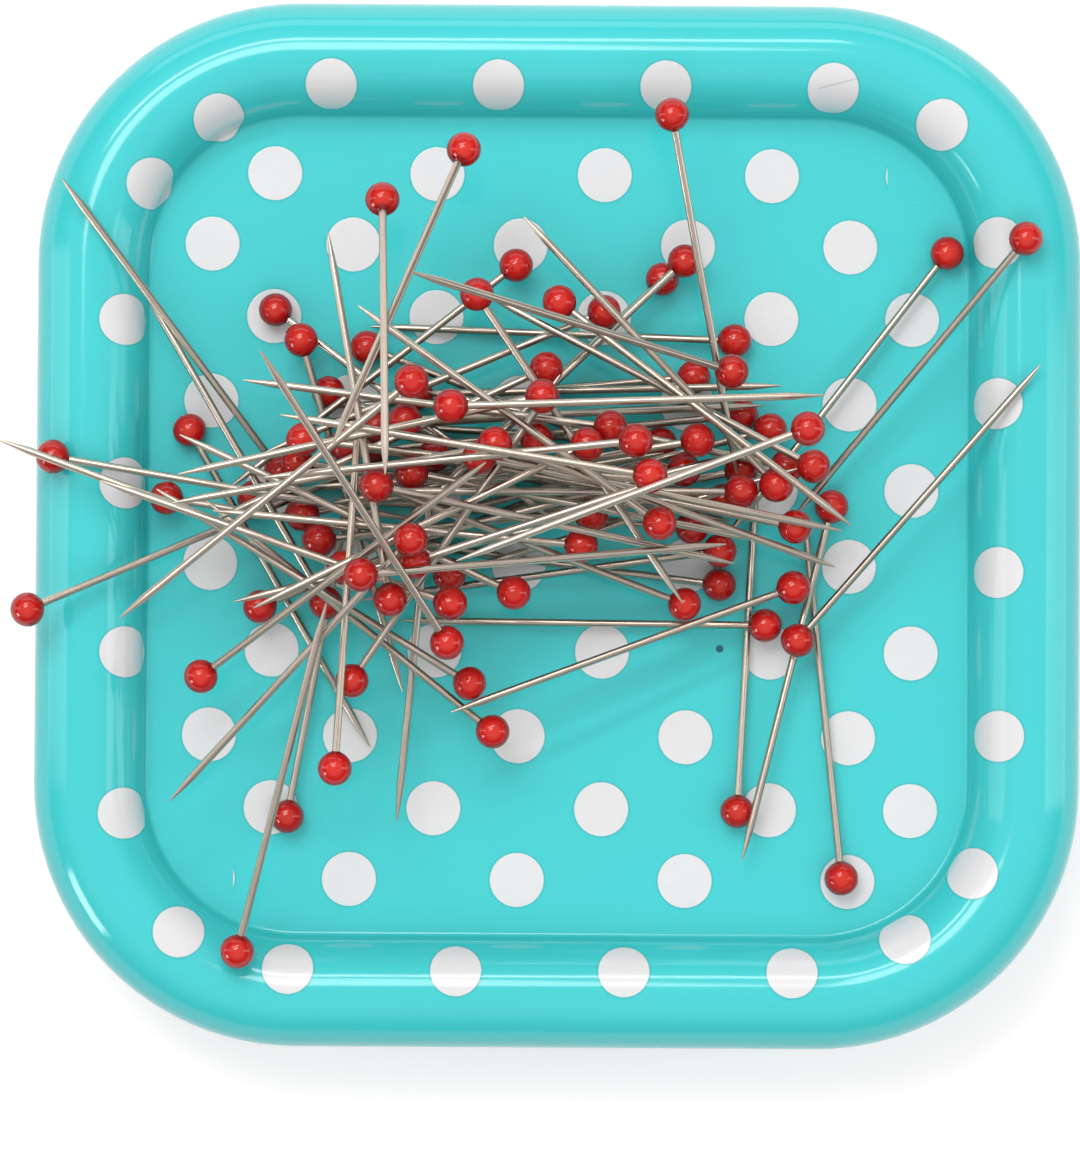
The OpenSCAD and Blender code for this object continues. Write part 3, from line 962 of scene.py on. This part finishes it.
def drawn_steel(look):
    """Nickel-plated wire with drawing lines along it, and a brighter ground point."""
    ink = Look("drawn_steel")
    along = ink.named("along")["Vector"]
    tone = ink.named("tone")["Fac"]
    t, turn_x, turn_y = ink.parts(along)
    lines = ink.noise(ink.joined(t * 0.12 + tone * 53, turn_x * 3.0, turn_y * 3.0), 2.0, 3.0, 0.6)
    stains = ink.noise(ink.joined(t * 0.5 + tone * 19, turn_x, turn_y), 1.0, 3.0)
    colour = Vector(look.steel_colour)
    base = ink.mixed(stains, paint(colour * 0.80), paint(colour * 1.10))
    base = ink.mixed(tone * 0.25, base, WARM_STEEL)
    # Painted shade low down in the middle of the heap.
    base = painted_heap_shade(ink, colour, base)
    grinding = ink.noise(ink.joined(t * 9.0, turn_x * 0.3, turn_y * 0.3), 2.0, 2.0)
    on_point = (27.0 - t).inside(0.0, 0.5)
    rough = 0.22 + lines * 0.12 + on_point * (grinding - 0.3) * 0.25
    return ink.finish(
        Base_Color=base, Metallic=1.0, Roughness=rough,
        Normal=ink.raised(lines + on_point * grinding, 0.002 * MM))


def dress(node, material):
    """Gives a node of the frame its material."""
    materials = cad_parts[node].data.materials
    materials.clear()
    materials.append(material)


# Operators


def look_of(name):
    return getattr(bpy.context.scene, name)


class BOWL_OT_dish(bpy.types.Operator):
    """Make the spotted dish"""

    bl_idname = "bowl.dish"
    bl_label = "Dish"

    def execute(self, context):
        look = look_of("dish_look")
        dish = make_dish(look)
        dish.data.materials.append(spotted_plastic(look))
        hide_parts(DISH_NODE)
        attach(dish, "dish")
        return {"FINISHED"}


class BOWL_OT_base(bpy.types.Operator):
    """Dress the base cover and the pad"""

    bl_idname = "bowl.base"
    bl_label = "Base cover and pad"

    def execute(self, context):
        look = look_of("base_look")
        dress("base_cover", matt_plastic(look))
        dress("antislip_pad", foam_rubber(look))
        return {"FINISHED"}


class BOWL_OT_magnets(bpy.types.Operator):
    """Dress the magnets, their keeper plate and the screws"""

    bl_idname = "bowl.magnets"
    bl_label = "Magnets, keeper and screws"

    def execute(self, context):
        look = look_of("base_look")
        ferrite = fired_ferrite(look)
        zinc = zinc_plate(look)
        for node in ("magnet_left", "magnet_right"):
            dress(node, ferrite)
        for node in ("keeper_plate", "base_screws"):
            dress(node, zinc)
        return {"FINISHED"}


def dressed_pins(names, body_of, first_number):
    """Makes, dresses and seats the pins of some sets."""
    look = look_of("pin_look")
    steel, glass = pin_materials(look)
    for order, name in enumerate(names):
        shafts, heads = make_pins(look, name, first_number + order)
        shafts.data.materials.append(steel)
        heads.data.materials.append(glass)
        for piece in (shafts, heads):
            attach(piece, body_of(name))


def pin_materials(look):
    """The two materials that all the pins share."""
    steel = bpy.data.materials.get("drawn_steel") or drawn_steel(look)
    glass = bpy.data.materials.get("red_glass") or red_glass(look)
    return steel, glass


class BOWL_OT_heap(bpy.types.Operator):
    """Make the pins of the heap"""

    bl_idname = "bowl.heap"
    bl_label = "Heap of pins"

    def execute(self, context):
        for k, name in enumerate(HEAP_SETS):
            dressed_pins([name], lambda _: "heap", HEAP_FIRST + HEAP_APART * k)
        return {"FINISHED"}


class BOWL_OT_loose_pins(bpy.types.Operator):
    """Make the pins that come off one by one"""

    bl_idname = "bowl.loose_pins"
    bl_label = "Loose pins"

    def execute(self, context):
        names = [node[:-len("_shaft")] for node in node_names("_shaft")]
        dressed_pins(names, lambda name: name, 1)
        return {"FINISHED"}


class BOWL_OT_stage(bpy.types.Operator):
    """Make the table, the lamps, the sky and the camera"""

    bl_idname = "bowl.stage"
    bl_label = "Stage"

    def execute(self, context):
        look = look_of("stage_look")
        make_table(look)
        make_sky(look)
        for name, power, direction, size in LAMPS:
            lamp = make_lamp(name, getattr(look, power), Vector(direction).normalized(), size)
            lamp.visible_diffuse = name != "window_lamp"
            lamp.visible_glossy = name != "front_fill"
        make_camera(look)
        return {"FINISHED"}


# Stage


def make_table(look):
    """A plain pale table, white to the camera but for the bowl's soft shadow."""
    low, high = -TABLE_HALF, TABLE_HALF
    corners = [(low, low, 0), (high, low, 0), (high, high, 0), (low, high, 0)]
    table = mesh_object("table", corners, [(0, 1, 2, 3)])
    ink = Look("table_top")
    cloth = ink.node("ShaderNodeBsdfDiffuse", sockets={"Color": paint(look.table_colour)})
    shade = ink.node("ShaderNodeBsdfDiffuse", sockets={"Color": TABLE_SEEN})
    glow = ink.node("ShaderNodeEmission", sockets={"Color": WHITE, "Strength": TABLE_GLOW})
    white = ink.node("ShaderNodeAddShader", sockets={0: shade[0], 1: glow[0]})
    path = ink.node("ShaderNodeLightPath")
    seen = path["Is Camera Ray"].most(path["Is Glossy Ray"]).most(path["Is Transmission Ray"])
    both = ink.node("ShaderNodeMixShader", sockets={0: seen, 1: cloth[0], 2: white[0]})
    ink.node("ShaderNodeOutputMaterial", sockets={"Surface": both[0]})
    table.data.materials.append(ink.material)


def make_sky(look):
    """A pale room: bright overhead, dimmer lower down, and white at eye level and below."""
    world = bpy.data.worlds.new("sky")
    ink = Look("sky", world)
    up = ink.parts(ink.node("ShaderNodeTexCoord")["Generated"])[2]
    overhead = ((up - look.ceiling_edge) / CEILING_BLEND).clamped()
    room = look.wall_level + overhead * (look.sky - look.wall_level)
    backdrop = up.inside(EYE_LEVEL, EYE_LEVEL)
    level = room * (1 - backdrop) + backdrop
    sky = ink.node("ShaderNodeBackground", sockets={"Color": WHITE, "Strength": level})
    ink.node("ShaderNodeOutputWorld", sockets={"Surface": sky[0]})
    bpy.context.scene.world = world


def make_lamp(name, power, direction, size):
    """A soft box that looks at the dish from a direction."""
    data = bpy.data.lights.new(name, "AREA")
    data.shape = "RECTANGLE"
    data.size, data.size_y = size
    data.energy = power
    lamp = bpy.data.objects.new(name, data)
    lamp.location = direction * LAMP_AWAY
    lamp.rotation_euler = direction.to_track_quat("Z", "Y").to_euler()
    bpy.context.scene.collection.objects.link(lamp)
    return lamp


def make_camera(look):
    """The camera at the photograph's angle: almost straight down."""
    data = bpy.data.cameras.new("camera")
    data.sensor_fit = "AUTO"
    data.sensor_width = SENSOR
    data.lens = data.sensor_width * look.distance / look.view_height
    data.clip_start, data.clip_end = CLIP
    camera = bpy.data.objects.new("camera", data)
    lean = math.pi / 2 - look.elevation
    back = Vector((0, -math.sin(lean), math.cos(lean)))
    camera.location = Vector(look.aim) + back * look.distance
    camera.rotation_euler = Euler((lean, 0, look.roll), "XYZ")
    bpy.context.scene.collection.objects.link(camera)
    bpy.context.scene.camera = camera


# Panel and registration

STEPS = ("dish", "base", "magnets", "heap", "loose_pins", "stage")


class BOWL_PT_panel(bpy.types.Panel):
    """Sizes, colours and pieces of the pin bowl"""

    bl_idname = "BOWL_PT_panel"
    bl_label = "Pin Bowl"
    bl_space_type = "VIEW_3D"
    bl_region_type = "UI"
    bl_category = "Pin Bowl"

    def draw(self, context):
        layout = self.layout
        for name, group in LOOKS.items():
            box = layout.box()
            look = getattr(context.scene, name)
            for field in group.__annotations__:
                box.prop(look, field)
        for step in STEPS:
            layout.operator(f"bowl.{step}")


CLASSES = (
    *LOOKS.values(), BOWL_OT_dish, BOWL_OT_base, BOWL_OT_magnets, BOWL_OT_heap,
    BOWL_OT_loose_pins, BOWL_OT_stage, BOWL_PT_panel,
)


def register():
    for kind in CLASSES:
        bpy.utils.register_class(kind)
    for name, group in LOOKS.items():
        setattr(bpy.types.Scene, name, bpy.props.PointerProperty(type=group))


def unregister():
    for name in LOOKS:
        delattr(bpy.types.Scene, name)
    for kind in reversed(CLASSES):
        bpy.utils.unregister_class(kind)


def main():
    register()
    bpy.context.scene.view_settings.view_transform = "Standard"
    for step in STEPS:
        getattr(bpy.ops.bowl, step)()


if __name__ == "__main__":
    main()
